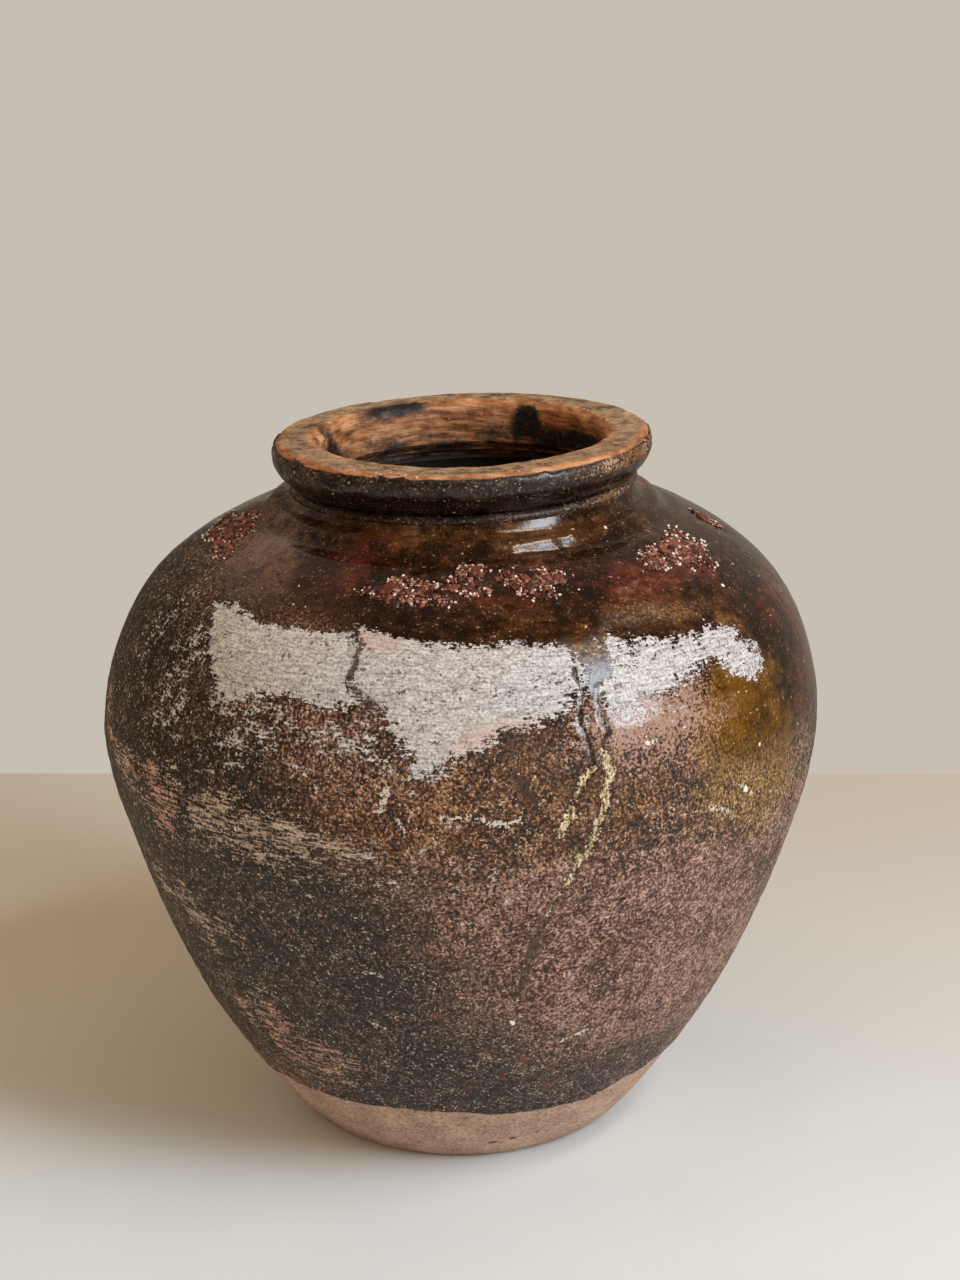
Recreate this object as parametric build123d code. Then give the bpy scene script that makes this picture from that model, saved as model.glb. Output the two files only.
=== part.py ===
from build123d import *
import math
import os

# Driving sizes, in millimetres. The jar stands on its foot with +Z up, and its origin is the centre of the foot.
foot_radius = 74.0
belly_radius = 163.5
belly_height = 193.0
shoulder_rise = 107.0
neck_radius = 76.8
clay_wall = 10.0
base_thickness = 14.0
foot_edge_round = 2.5

# Neck ring and rolled rim, measured outwards and inwards from the neck's radius. The rim's rise is
# measured from the groove under the roll.
collar_height = 4.5
bead_swell = 1.2
groove_depth = 3.0
groove_exit_share = 0.4
rim_overhang = 8.0
rim_rise = 19.5
neck_wall = 12.8
mouth_bevel_width = 4.6
mouth_bevel_depth = 5.0

# Glaze. It stops above a bare foot in a wavering line, and it is worn off the top edge of the rim.
glaze_thickness = 0.7
bare_foot_height = 35.0
worn_lip_share = 0.12
# Height of the glaze's lower edge as a share of the bare foot's height, at equal steps from +X
glaze_line_shares = (
    1.14, 1.06, 1.01, 1.06, 1.11, 1.06, 0.97, 0.96, 1.03, 1.09, 1.04, 0.97,
    1.00, 1.03, 0.99, 1.05, 1.05, 1.07, 1.085, 1.00, 1.00, 1.16, 1.27, 1.23,
)

# How the jar sagged in the kiln, in degrees and millimetres. Its right side stands higher.
shoulder_lean = 0.75
shoulder_drift = 1.5
neck_lean = 2.1

# Kiln grit, fused on in patches where the foot of another pot stood on the shoulder
grit_ring_radius = 110.0
grit_thickness = 1.5
grit_lobe_share = 0.16
grit_corners = 14

# Points along an outline: share of the height, share of the way between the two radii
lower_outline_shares = (
    (0.0, 0.0), (0.026, 0.056), (0.062, 0.126), (0.114, 0.214), (0.181, 0.316), (0.337, 0.52),
    (0.492, 0.678), (0.648, 0.811), (0.777, 0.902), (0.891, 0.971), (1.0, 1.0),
)
upper_outline_shares = (
    (0.0, 1.0), (0.178, 0.981), (0.346, 0.927), (0.486, 0.851), (0.607, 0.747), (0.72, 0.593),
    (0.813, 0.413), (0.888, 0.221), (0.925, 0.116), (0.963, 0.036), (1.0, 0.0),
)
# Points up the rolled rim, from the groove out to its widest turn and in to its flat top
rim_outline_shares = ((0.0, 0.0), (0.16, 0.44), (0.34, 0.78), (0.62, 1.0), (0.88, 0.95), (1.0, 0.74))
bead_crest_share = 0.56

# Each grit patch: degrees round the jar from +X, radius as a share of the ring's, and the half
# length and half width of the patch as shares of the ring's radius
grit_patch_shares = (
    (-171.0, 0.97, 0.20, 0.085),
    (-102.0, 1.03, 0.13, 0.055),
    (-88.5, 0.97, 0.07, 0.075),
    (-74.0, 0.99, 0.11, 0.060),
    (-31.0, 1.00, 0.19, 0.075),
    (0.5, 1.02, 0.035, 0.060),
    (58.0, 1.00, 0.15, 0.070),
    (127.0, 0.98, 0.12, 0.065),
)

# Cutting tools reach this far past what they cut
overrun = 20.0

outline_steps = 24
bead_radius = neck_radius + bead_swell
groove_radius = neck_radius - groove_depth
rim_radius = neck_radius + rim_overhang
throat_radius = neck_radius - neck_wall
lean_slope = math.tan(math.radians(shoulder_lean))
neck_skew = math.tan(math.radians(abs(neck_lean - shoulder_lean)))
# Clay left on a piece below its seam, cut off along the seam once the piece leans
belly_allowance = 2 * belly_radius * lean_slope + clay_wall
neck_allowance = 2 * neck_radius * neck_skew + clay_wall

# The neck's own frame. Its floor is the seam on which the shoulder carries the neck.
neck_frame = Location((shoulder_drift, 0, belly_height + shoulder_rise), (0, -neck_lean, 0))


def beside(curve, distance):
    """A curve that runs on the outer side of another, or the inner side for a distance below zero."""
    shares = [step / outline_steps for step in range(outline_steps + 1)]
    points = [curve @ share + (curve % share).rotate(Axis.Y, 90) * distance for share in shares]
    return Spline(*points, tangents=[curve % 0, curve % 1])


def band(curve, distance):
    """The face between a curve and its neighbour, which revolves into a wall or a coat of glaze."""
    neighbour = beside(curve, distance)
    return make_face([curve, Line(curve @ 1, neighbour @ 1), neighbour, Line(curve @ 0, neighbour @ 0)])


def filled(curve):
    """The face between a curve and the jar's axis."""
    top = Vector(0, 0, (curve @ 1).Z)
    bottom = Vector(0, 0, (curve @ 0).Z)
    return make_face([curve, Line(curve @ 1, top), Line(top, bottom), Line(bottom, curve @ 0)])


def lower_outline():
    """Outer line of the lower half's clay, from the floor to the belly seam."""
    swell = belly_radius - foot_radius
    points = [
        (foot_radius + out * swell, 0, up * belly_height)
        for up, out in lower_outline_shares
    ]
    return Spline(*points, tangents=[Vector(1, 0, 1), Vector(0, 0, 1)])


def upper_outline():
    """Outer line of the upper half's clay, upright, with the allowances past its two seams."""
    swell = belly_radius - neck_radius
    points = [(belly_radius, 0, belly_height - belly_allowance)]
    points += [
        (neck_radius + out * swell, 0, belly_height + up * shoulder_rise)
        for up, out in upper_outline_shares
    ]
    points += [(neck_radius, 0, belly_height + shoulder_rise + neck_allowance)]
    return Spline(*points, tangents=[Vector(0, 0, 1), Vector(0, 0, 1)])


def bead_outline():
    """Outer line of the neck ring: upright, swelling into a bead, then in to the groove."""
    return Spline(
        (neck_radius, 0, 0),
        (bead_radius, 0, bead_crest_share * collar_height),
        (groove_radius, 0, collar_height),
        tangents=[Vector(0, 0, 1), Vector(-1, 0, 0)],
    )


def rim_outline():
    """Outer line of the rolled rim, from the groove to the edge of its flat top."""
    swell = rim_radius - groove_radius
    points = [
        (groove_radius + out * swell, 0, collar_height + up * rim_rise)
        for up, out in rim_outline_shares
    ]
    return Spline(*points, tangents=[Vector(1, 0, groove_exit_share), Vector(-1, 0, 0)])


def sagged(shape):
    """The upper half as the kiln left it: sheared to one side, with its far side lifted."""
    slide = shoulder_drift / shoulder_rise
    shear = Matrix([
        [1, 0, slide, -slide * belly_height],
        [0, 1, 0, 0],
        [lean_slope, 0, 1, 0],
    ])
    return shape.transform_geometry(shear)


def between_seams(shape):
    """A piece of the upper half, trimmed flat at the belly seam and at the seam below the neck."""
    above_belly = split(shape, bisect_by=Plane.XY.offset(belly_height), keep=Keep.TOP)
    return split(above_belly, bisect_by=Plane(neck_frame), keep=Keep.BOTTOM)


def base_slab():
    """Beaten disc of clay that closes the jar, with its edge softened where it stands."""
    body = revolve(filled(lower_outline()), Axis.Z)
    slab = split(body, bisect_by=Plane.XY.offset(base_thickness), keep=Keep.BOTTOM)
    edge = slab.edges().filter_by(GeomType.CIRCLE).sort_by(Axis.Z)[0]
    return fillet(edge, foot_edge_round)


def lower_wall():
    """Thrown bowl from the slab up to the belly seam."""
    bowl = revolve(band(lower_outline(), -clay_wall), Axis.Z)
    return split(bowl, bisect_by=Plane.XY.offset(base_thickness), keep=Keep.TOP)


def upper_wall():
    """Thrown shoulder, turned over and luted on at the belly, which sagged in the kiln."""
    shoulder = revolve(band(upper_outline(), -clay_wall), Axis.Z)
    return between_seams(sagged(shoulder))


def collar_face():
    """Section of the neck ring, whose bore narrows from the shoulder's inside to the throat."""
    outer = bead_outline()
    bore_radius = neck_radius - clay_wall
    inner = Spline(
        (throat_radius, 0, collar_height),
        (bore_radius, 0, 0),
        tangents=[Vector(0, 0, -1), Vector(0, 0, -1)],
    )
    return make_face([outer, Line(outer @ 1, inner @ 0), inner, Line(inner @ 1, outer @ 0)])


def rim_face():
    """Section of the rolled rim: rounded outside, flat on top and bevelled into the mouth."""
    outer = rim_outline()
    top = collar_height + rim_rise
    bevel = Spline(
        (throat_radius + mouth_bevel_width, 0, top),
        (throat_radius, 0, top - mouth_bevel_depth),
        tangents=[Vector(-1, 0, 0), Vector(0, 0, -1)],
    )
    throat = Line(bevel @ 1, (throat_radius, 0, collar_height))
    return make_face([outer, Line(outer @ 1, bevel @ 0), bevel, throat, Line(throat @ 1, outer @ 0)])


def neck_collar():
    """Ring of clay between the shoulder and the rim, set on a little askew."""
    return neck_frame * revolve(collar_face(), Axis.Z)


def rim_roll():
    """Thick rim, rolled outwards over the groove."""
    return neck_frame * revolve(rim_face(), Axis.Z)


def glaze_line(radius):
    """Closed line round the jar at a radius, at the heights where the glaze ends above the foot."""
    heights = [bare_foot_height * share for share in glaze_line_shares]
    turn = 360 / len(heights)
    points = [
        Vector(radius, 0, height).rotate(Axis.Z, step * turn)
        for step, height in enumerate(heights)
    ]
    return Spline(*points, periodic=True)


def body_glaze():
    """Dark iron glaze on the lower half, down to the wavering line above the bare foot."""
    coat = revolve(band(lower_outline(), glaze_thickness), Axis.Z)
    brim = Face.make_surface_from_curves(glaze_line(foot_radius - clay_wall), glaze_line(belly_radius))
    return coat - extrude(brim, 2 * bare_foot_height, dir=(0, 0, -1))


def shoulder_glaze():
    """Dark glossy glaze on the upper half."""
    coat = revolve(band(upper_outline(), glaze_thickness), Axis.Z)
    return between_seams(sagged(coat))


def neck_glaze():
    """Glaze round the neck ring, in the groove and up the rim to its worn edge."""
    glazed_rim = rim_outline().trim(0, 1 - worn_lip_share)
    coats = band(bead_outline(), glaze_thickness) + band(glazed_rim, glaze_thickness)
    section = coats - collar_face() - rim_face()
    return neck_frame * revolve(section, Axis.Z)


def grit_patch(angle, radius_share, length_share, width_share):
    """Upright prism with the lobed outline of one patch, which the grit's shell is cut with."""
    corners = []
    for step in range(grit_corners):
        turn = 2 * math.pi * step / grit_corners
        lobe = 1 + grit_lobe_share * (math.sin(3 * turn + angle) + math.cos(5 * turn - angle)) / 2
        width = grit_ring_radius * width_share * lobe * math.cos(turn)
        length = grit_ring_radius * length_share * lobe * math.sin(turn)
        corners.append((width, length))
    outline = make_face(Spline(*corners, periodic=True))
    place = Rot(0, 0, angle) * Pos(grit_ring_radius * radius_share, 0, belly_height)
    return place * extrude(outline, shoulder_rise + overrun)


def kiln_grit():
    """Patches of kiln grit fused to the shoulder's glaze, as one group of separate solids."""
    glaze_face = beside(upper_outline(), glaze_thickness)
    shell = revolve(band(glaze_face, grit_thickness), Axis.Z)
    return sagged(Part() + [shell & grit_patch(*patch) for patch in grit_patch_shares])


nodes = {
    "base_slab": base_slab,
    "lower_wall": lower_wall,
    "upper_wall": upper_wall,
    "neck_collar": neck_collar,
    "rim_roll": rim_roll,
    "body_glaze": body_glaze,
    "shoulder_glaze": shoulder_glaze,
    "neck_glaze": neck_glaze,
    "kiln_grit": kiln_grit,
}

os.makedirs("parts", exist_ok=True)
for name, make in nodes.items():
    export_step(make(), f"parts/{name}.step")
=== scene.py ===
import math
import bmesh
import bpy
import numpy as np
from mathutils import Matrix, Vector


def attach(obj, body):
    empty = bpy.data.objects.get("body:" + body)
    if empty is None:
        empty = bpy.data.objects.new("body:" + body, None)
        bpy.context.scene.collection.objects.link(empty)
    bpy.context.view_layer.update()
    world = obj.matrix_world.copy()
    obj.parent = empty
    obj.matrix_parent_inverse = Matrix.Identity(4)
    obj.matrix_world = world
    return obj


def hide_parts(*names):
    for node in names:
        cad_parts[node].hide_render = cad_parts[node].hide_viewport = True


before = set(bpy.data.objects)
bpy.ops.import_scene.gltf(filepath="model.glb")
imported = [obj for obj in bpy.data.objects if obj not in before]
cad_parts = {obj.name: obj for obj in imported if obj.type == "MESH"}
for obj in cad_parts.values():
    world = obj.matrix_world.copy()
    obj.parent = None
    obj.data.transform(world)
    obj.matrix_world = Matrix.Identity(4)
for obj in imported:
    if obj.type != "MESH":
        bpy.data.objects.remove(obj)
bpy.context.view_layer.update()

# Base slab. A beaten disc of stoneware clay that closes the jar. It was left bare of glaze, and its
# edge was softened with a wet finger where it stands.
mm = 0.001
foot_radius = 74.0 * mm
belly_radius = 163.5 * mm
belly_height = 193.0 * mm
base_thickness = 14.0 * mm
foot_edge_round = 2.5 * mm

# Points along the outline: share of the way between the two radii, share of the height
lower_outline_shares = (
    (0.0, 0.0), (0.056, 0.026), (0.126, 0.062), (0.214, 0.114), (0.316, 0.181), (0.52, 0.337),
    (0.678, 0.492), (0.811, 0.648), (0.902, 0.777), (0.971, 0.891), (1.0, 1.0),
)
clay_turns = 384
row_step = 1.2 * mm

# The relief dies away over this much of the foot's edge, and the slab's top is drawn in under the wall
relief_fade = 6.0 * mm
slab_tuck = 1.5 * mm

# Pits where pieces of grit fell out of the foot: degrees from the front, height and width in millimetres
foot_pits = (
    (16, 18, 4.0), (10, 16, 5.0), (27, 20, 2.5), (-6, 9, 2.0), (-38, 15, 2.2), (74, 22, 3.0),
    (158, 14, 4.0),
)
pit_depth = 0.9 * mm
pit_height_share = 0.45
pit_radius_share = 1.25


def smooth_line(points, start, end, samples=600):
    """Places, radius and height, along a curve through a few points that leaves and ends as told."""
    points = np.array(points)
    knots = np.concatenate(([0.0], np.cumsum(np.linalg.norm(np.diff(points, axis=0), axis=1))))
    slopes = np.gradient(points, knots, axis=0)
    slopes[0] = np.array(start) / np.linalg.norm(start)
    slopes[-1] = np.array(end) / np.linalg.norm(end)
    at = np.linspace(0.0, knots[-1], samples)
    span = np.clip(np.searchsorted(knots, at, side="right") - 1, 0, len(knots) - 2)
    width = np.diff(knots)[span]
    share = ((at - knots[span]) / width)[:, None]
    width = width[:, None]
    leave = (1 + 2 * share) * (1 - share) ** 2 * points[span]
    leave += share * (1 - share) ** 2 * width * slopes[span]
    arrive = share**2 * (3 - 2 * share) * points[span + 1]
    arrive -= share**2 * (1 - share) * width * slopes[span + 1]
    return leave + arrive


def climb_of(line):
    """Distance travelled along a line at each of its places."""
    return np.concatenate(([0.0], np.cumsum(np.linalg.norm(np.diff(line, axis=0), axis=1))))


def along(line, distances, offset=0.0):
    """Radius and height at the given distances along a line, or squarely off it on its outer side."""
    climb = climb_of(line)
    run = np.gradient(line, axis=0)
    run /= np.linalg.norm(run, axis=1, keepdims=True)
    aside = line + offset * np.stack([run[:, 1], -run[:, 0]], axis=1)
    return np.stack([np.interp(distances, climb, column) for column in aside.T], axis=-1)


# Random values lie on a lattice of this many steps each way, which then repeats
lattice_steps = 32


def lumps(places, grain, seed):
    """Smooth unevenness from -1 to 1, with swellings about one grain across."""
    lattice = np.random.default_rng(seed).uniform(-1, 1, (lattice_steps,) * 3)
    spot = places / grain
    cell = np.floor(spot).astype(int)
    blend = spot - cell
    blend = blend**2 * (3 - 2 * blend)
    total = 0.0
    for corner in np.ndindex(2, 2, 2):
        weight = np.prod(np.where(corner, blend, 1 - blend), axis=-1)
        total = total + weight * lattice[tuple(np.moveaxis((cell + corner) % lattice_steps, -1, 0))]
    return total


def clouds(places, grain, seed, layers=3):
    """Unevenness with finer and finer layers, each half as deep as the one before."""
    return sum(lumps(places, grain / 2**step, seed + step) / 2**step for step in range(layers))


def bearings(turns):
    """Degrees from the front, to the right or left, of each step of a full turn that starts at +X."""
    return (np.arange(turns) * 360 / turns + 270) % 360 - 180


def circle(turns, radius):
    """Places round a level circle, in the same steps."""
    turn = np.arange(turns) * 2 * math.pi / turns
    return np.stack([radius * np.cos(turn), radius * np.sin(turn), 0 * turn], axis=-1)


def upright(places):
    """Where the pieces of the lower half stand: as they were thrown."""
    return places


def placed(name, data):
    """Adds an object to the scene."""
    made = bpy.data.objects.new(name, data)
    bpy.context.scene.collection.objects.link(made)
    return made


# The bake map: the share of its height for the side that shows, and the margin round each band
shown_map_share = 0.9
map_margin = 0.01

# Edges that turn by more than this many degrees stay sharp
sharp_turn = 50


def turned(name, sides, turns, bend=upright, bands=1):
    """A thrown ring as one closed mesh. Each side is rows of radius, height and climb, with its relief."""
    turn = np.arange(turns) * 2 * math.pi / turns
    front = bearings(turns)
    blocks = []
    for rows, relief in sides:
        if rows.ndim == 2:
            rows = np.repeat(rows[:, None], turns, axis=1)
        places = np.stack([rows[..., 0] * np.cos(turn), rows[..., 0] * np.sin(turn), rows[..., 1]], axis=-1)
        places = bend(places)
        across = np.roll(places, -1, axis=1) - np.roll(places, 1, axis=1)
        out = np.cross(across, np.gradient(places, axis=0))
        out /= np.maximum(np.linalg.norm(out, axis=-1, keepdims=True), 1e-12)
        facing = np.broadcast_to(front, rows.shape[:2])
        blocks.append(places + out * relief(places, facing, rows[..., 2])[..., None])
    grid = np.concatenate(blocks)
    count = len(grid)
    row, column = np.meshgrid(np.arange(count), np.arange(turns), indexing="ij")
    up = (row + 1) % count
    round_ = (column + 1) % turns
    corners = [row * turns + column, row * turns + round_, up * turns + round_, up * turns + column]
    mesh = bpy.data.meshes.new(name)
    mesh.from_pydata(grid.reshape(-1, 3).tolist(), [], np.stack(corners, axis=-1).reshape(-1, 4).tolist())
    shown = len(blocks[0])
    heights = np.interp(np.arange(count + 1), [0, shown, count], [0.0, shown_map_share, 1.0])
    per_band = math.ceil(turns / bands)
    band = column // per_band
    left = (column - band * per_band) / per_band
    ends = [(left, row), (left + 1 / per_band, row), (left + 1 / per_band, row + 1), (left, row + 1)]
    within = 1 - 2 * map_margin
    corners_on_map = [
        np.stack([map_margin + within * x, (band + map_margin + within * heights[y]) / bands], axis=-1)
        for x, y in ends
    ]
    layer = mesh.uv_layers.new(name="OFBake")
    layer.uv.foreach_set("vector", np.stack(corners_on_map, axis=2).ravel())
    mesh.shade_smooth()
    mesh.set_sharp_from_angle(angle=math.radians(sharp_turn))
    return placed(name, mesh), grid


def still(places, front, climb):
    """No relief, for faces that nothing shows."""
    return np.zeros(climb.shape)


def wall(line, start, end, step, offset=0.0):
    """Rows of radius, height and climb, evenly spaced along an outline or beside it."""
    count = max(2, round(abs(end - start) / step) + 1)
    climb = np.linspace(start, end, count)
    return np.column_stack([along(line, climb, offset), climb])


def pitted(front, climb):
    """How deep a place on the foot lies in one of its pits, from nothing to one."""
    around = foot_radius / mm * pit_radius_share * math.radians(1)
    deep = np.zeros(climb.shape)
    for at, up, width in foot_pits:
        aside = (front - at) * around / width
        above = (climb / mm - up) / (pit_height_share * width)
        deep = np.maximum(deep, np.exp(-2.5 * (aside**2 + above**2)))
    return deep


def throwing_waves(places):
    """Broad unevenness of the thrown wall, which its coat of glaze follows."""
    return 0.45 * mm * clouds(places, 46 * mm, 11, 2)


def thrown_clay(places, front, climb):
    """Surface of thrown clay: soft waves, the fingers' rings and the grit of the body."""
    rings = 0.10 * mm * np.sin(2 * math.pi * climb / (5.2 * mm) + 2 * lumps(places, 60 * mm, 12))
    grit = 0.09 * mm * clouds(places, 3.0 * mm, 13, 2)
    return throwing_waves(places) + rings + grit - pit_depth * pitted(front, climb)


def linear(colour):
    """An sRGB hex value as Blender's linear colour."""
    parts = [int(colour[start:start + 2], 16) / 255 for start in (1, 3, 5)]
    return [part / 12.92 if part <= 0.04045 else ((part + 0.055) / 1.055) ** 2.4 for part in parts] + [1.0]


def node(tree, kind, *inputs, out=None, stops=(), links=None, **settings):
    """Adds a shader node with its settings, fills its inputs in order or by name, and gives an output."""
    made = tree.nodes.new("ShaderNode" + kind)
    for name, value in settings.items():
        setattr(made, name, value)
    for number, (place, colour) in enumerate(stops):
        bar = made.color_ramp.elements
        stop = bar[number] if number < len(bar) else bar.new(place)
        stop.position = place
        stop.color = linear(colour)
    ready = [socket for socket in made.inputs if socket.enabled]
    named = {socket.name: socket for socket in ready}
    filled = list(zip(ready, inputs))
    filled += [(named[name], value) for name, value in (links or {}).items()]
    for socket, value in filled:
        if isinstance(value, bpy.types.NodeSocket):
            tree.links.new(value, socket)
        else:
            socket.default_value = linear(value) if isinstance(value, str) else value
    given = [socket for socket in made.outputs if socket.enabled and out in (None, socket.name)]
    return given[0] if given else made


def new_material(name):
    """An empty node material, its tree and the place of each point of the surface."""
    material = bpy.data.materials.new(name)
    material.use_nodes = True
    material.node_tree.nodes.clear()
    place = node(material.node_tree, "TexCoord", out="Object")
    return material, material.node_tree, place


def worked(tree, *grains, start=0.0):
    """Several grains, each times its own weight, added to what there is at the start."""
    for grain, weight in grains:
        start = node(tree, "Math", grain, weight, start, operation="MULTIPLY_ADD")
    return start


def ragged(tree, name, *grains):
    """A mark painted on the mesh, with its edge broken up by grains of the given depths."""
    painted_mark = node(tree, "Attribute", out="Fac", attribute_name=name)
    middle = sum(depth for grain, depth in grains) / 2
    return node(tree, "Math", worked(tree, *grains, start=painted_mark), middle, operation="SUBTRACT")


def laid(tree, under, over, share, low, high, most=1.0):
    """Lays one colour over another where a share passes from the first limit to the second."""
    cover = node(tree, "MapRange", share, low, high, 0.0, most, interpolation_type="SMOOTHSTEP")
    return node(tree, "Mix", cover, under, over, data_type="RGBA")


def surfaced(tree, colour, roughness, bump, depth, ior=1.5):
    """Closes a material with its colour, roughness and a bump of the given real depth."""
    normal = node(tree, "Bump", links={"Height": bump, "Distance": depth})
    links = {"Base Color": colour, "Roughness": roughness, "Normal": normal, "IOR": ior}
    node(tree, "OutputMaterial", node(tree, "BsdfPrincipled", links=links))


def mark(piece, name, values, kind="FLOAT"):
    """Paints a mark on a piece, one value or place for each point of its mesh."""
    layer = piece.data.attributes.new(name, kind, "POINT")
    field = "value" if kind == "FLOAT" else "vector"
    layer.data.foreach_set(field, np.ascontiguousarray(values, dtype=np.float32).ravel())


def bare_stoneware():
    """Bare stoneware, thrown and left unglazed: matt, greyish beige, gritty, with fine drawn lines."""
    material, tree, place = new_material("bare_stoneware_clay")
    drawn = node(tree, "Mapping", place, links={"Scale": (1, 1, 7)})
    body = node(tree, "TexNoise", place, 1 / (14 * mm), 5.0, 0.55)
    lines = node(tree, "TexNoise", drawn, 1 / (9 * mm), 4.0, 0.6)
    specks = node(tree, "TexNoise", place, 1 / (1.5 * mm), 2.0, 0.5)
    tone = worked(tree, (body, 0.35), (lines, 0.15), (specks, 0.5))
    stops = ((0.34, "#8b705c"), (0.46, "#ae8f7a"), (0.56, "#c3a591"), (0.68, "#d5bda9"))
    colour = node(tree, "ValToRGB", tone, stops=stops)
    colour = laid(tree, colour, "#d3bfa9", specks, 0.66, 0.72, 0.8)
    colour = laid(tree, colour, "#4f3d2f", specks, 0.35, 0.29, 0.8)
    colour = laid(tree, colour, "#2c221b", ragged(tree, "pit", (specks, 1.2)), 0.35, 0.75, 0.9)
    # Inside the walls: the thin dark slip, painted near black as the shade within the jar.
    colour = laid(tree, colour, "#140c08", ragged(tree, "slip_and_shade", (body, 1.0), (lines, 0.8)), 0.25, 0.75, 0.95)
    surfaced(tree, colour, 0.86, worked(tree, (specks, 1.0), (lines, 1.0)), 0.35 * mm)
    return material


lower_points = [
    (foot_radius + out * (belly_radius - foot_radius), up * belly_height) for out, up in lower_outline_shares
]
lower_line = smooth_line(lower_points, (1, 1), (0, 1))
belly_climb = climb_of(lower_line)[-1]
slab_climb = np.interp(base_thickness, lower_line[:, 1], climb_of(lower_line))
bare_clay = bare_stoneware()


def dressed(piece, material, node_name):
    """Gives a piece its material, fixes it to the jar and hides the solid that it stands for."""
    piece.data.materials.append(material)
    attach(piece, "root")
    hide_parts(node_name)


# The foot's rounded edge turns up in steps of this many degrees
corner_turn = 15
foot_corner = [(0.0, 0.0), (foot_radius * 0.5, 0.0), (foot_radius - foot_edge_round, 0.0)]
for step in range(1, 6):
    angle = math.radians(step * corner_turn)
    corner_out = foot_edge_round * math.sin(angle)
    corner_up = foot_edge_round * (1 - math.cos(angle))
    foot_corner.append((foot_radius - foot_edge_round + corner_out, corner_up))
under = np.column_stack([np.array(foot_corner), np.linspace(-relief_fade, 0.0, len(foot_corner))])
slab_side = wall(lower_line, foot_edge_round, slab_climb, row_step)
slab_top = np.array([
    (along(lower_line, slab_climb)[0] - slab_tuck, base_thickness, 0.0),
    (foot_radius * 0.5, base_thickness, 0.0),
    (0.0, base_thickness, 0.0),
])


def foot_relief(places, front, climb):
    """Clay relief that dies away under the foot, so that the jar stands on a flat face."""
    return thrown_clay(places, front, climb) * np.clip(climb / relief_fade, 0, 1)


slab_sides = [(under, still), (slab_side, foot_relief), (slab_top, still)]
foot, foot_grid = turned("base_slab_clay", slab_sides, clay_turns)


def pits_painted(piece, grid, shown):
    """Darkens the pits of a bare clay piece, given the rows of its outer side among all its rows."""
    climb = np.zeros(grid.shape[:2])
    climb[shown[0]:shown[0] + len(shown[1])] = shown[1][:, 2][:, None]
    front = np.broadcast_to(bearings(clay_turns), grid.shape[:2])
    mark(piece, "pit", pitted(front, climb))


pits_painted(foot, foot_grid, (len(under), slab_side))
dressed(foot, bare_clay, "base_slab")

# Lower wall. The bowl was thrown on the slab, and it shows outside as the bare band above the foot
# and inside as the potter's spiral rings. The same clay as the slab.
clay_wall = 10.0 * mm
ring_spacing = 9.0 * mm
ring_depth = 0.9 * mm
inner_row_step = 1.8 * mm
hidden_row_step = 4.0 * mm

# The band of wall that may show above the slab, and how far the clay lies in under a coat of glaze
bare_band = 40.0 * mm
under_coat = 0.6 * mm


def finger_rings(places, front, climb):
    """The spiral that the potter's fingers left inside, with the clay's own unevenness."""
    turn = climb / ring_spacing + front / 360
    spiral = ring_depth * np.sin(2 * math.pi * turn + 0.8 * lumps(places, 70 * mm, 21))
    return spiral + 0.6 * thrown_clay(places, front, climb)


bare_climb = slab_climb + bare_band
bowl_out = wall(lower_line, slab_climb, bare_climb, row_step)
bowl_hidden = wall(lower_line, bare_climb + hidden_row_step, belly_climb, hidden_row_step, -under_coat)
bowl_in = wall(lower_line, belly_climb, slab_climb, inner_row_step, -clay_wall)
bowl_sides = [(bowl_out, thrown_clay), (bowl_hidden, still), (bowl_in, finger_rings)]
bowl, bowl_grid = turned("lower_wall_clay", bowl_sides, clay_turns)
pits_painted(bowl, bowl_grid, (0, bowl_out))


def slipped_and_shaded(piece, grid, inner_rows):
    """Marks the inside of a wall, which the potter rinsed with thin dark slip, painted near black as the
    shade within the jar.
    """
    slip_and_shade = np.zeros(grid.shape[:2])
    slip_and_shade[-inner_rows:] = 1.0
    mark(piece, "slip_and_shade", slip_and_shade)


slipped_and_shaded(bowl, bowl_grid, len(bowl_in))
dressed(bowl, bare_clay, "lower_wall")

# Upper wall. The shoulder was thrown apart and luted on at the belly. It sagged in the kiln, so it
# leans, and its right side stands higher. Glaze covers it outside, and thin dark slip inside, painted
# near black as the shade within the jar.
neck_radius = 76.8 * mm
shoulder_rise = 107.0 * mm
shoulder_drift = 1.5 * mm
shoulder_lean = 0.75
neck_lean = 2.1
lean_slope = math.tan(math.radians(shoulder_lean))
neck_slope = math.tan(math.radians(neck_lean))
seam_allowance = 14.0 * mm
shoulder_row_step = 3.0 * mm
upper_outline_shares = (
    (1.0, 0.0), (0.981, 0.178), (0.927, 0.346), (0.851, 0.486), (0.747, 0.607), (0.593, 0.72),
    (0.413, 0.813), (0.221, 0.888), (0.116, 0.925), (0.036, 0.963), (0.0, 1.0),
)


def sagged(places):
    """The upper half as the kiln left it: slid to one side, with its far side lifted."""
    rise = places[..., 2] - belly_height
    slid = places[..., 0] + shoulder_drift / shoulder_rise * rise
    return np.stack([slid, places[..., 1], places[..., 2] + lean_slope * places[..., 0]], axis=-1)


upper_points = [(belly_radius, belly_height - seam_allowance)]
upper_points += [
    (neck_radius + out * (belly_radius - neck_radius), belly_height + up * shoulder_rise)
    for out, up in upper_outline_shares
]
upper_points += [(neck_radius, belly_height + shoulder_rise + seam_allowance)]
upper_line = smooth_line(upper_points, (0, 1), (0, 1), 900)
neck_climb = np.interp(belly_height + shoulder_rise, upper_line[:, 1], climb_of(upper_line))


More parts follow.
